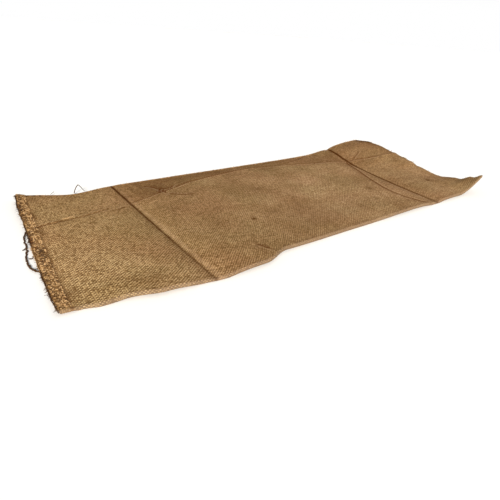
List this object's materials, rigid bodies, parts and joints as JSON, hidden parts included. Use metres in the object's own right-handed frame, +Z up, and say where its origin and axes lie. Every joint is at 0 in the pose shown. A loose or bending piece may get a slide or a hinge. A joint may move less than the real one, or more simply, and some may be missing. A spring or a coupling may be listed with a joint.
{
  "type": "jute sack",
  "caption": "Empty hessian sack lying flat, folded on one long edge, sewn at side and bottom, open at the mouth.",
  "frame": {"origin": "centre of the bounding box at the surface that the sack lies on", "axes": "+X from the sewn bottom to the mouth, +Y from the folded edge to the side seam, +Z up"},
  "size_m": [0.8544, 0.374, 0.0377],
  "materials": {
    "hessian": "matt plain-woven jute",
    "jute_yarn": "matt loose jute yarn"
  },
  "bodies": {
    "root": {"sack_body": "hessian", "bottom_fray": "jute_yarn"}
  },
  "joints": []
}
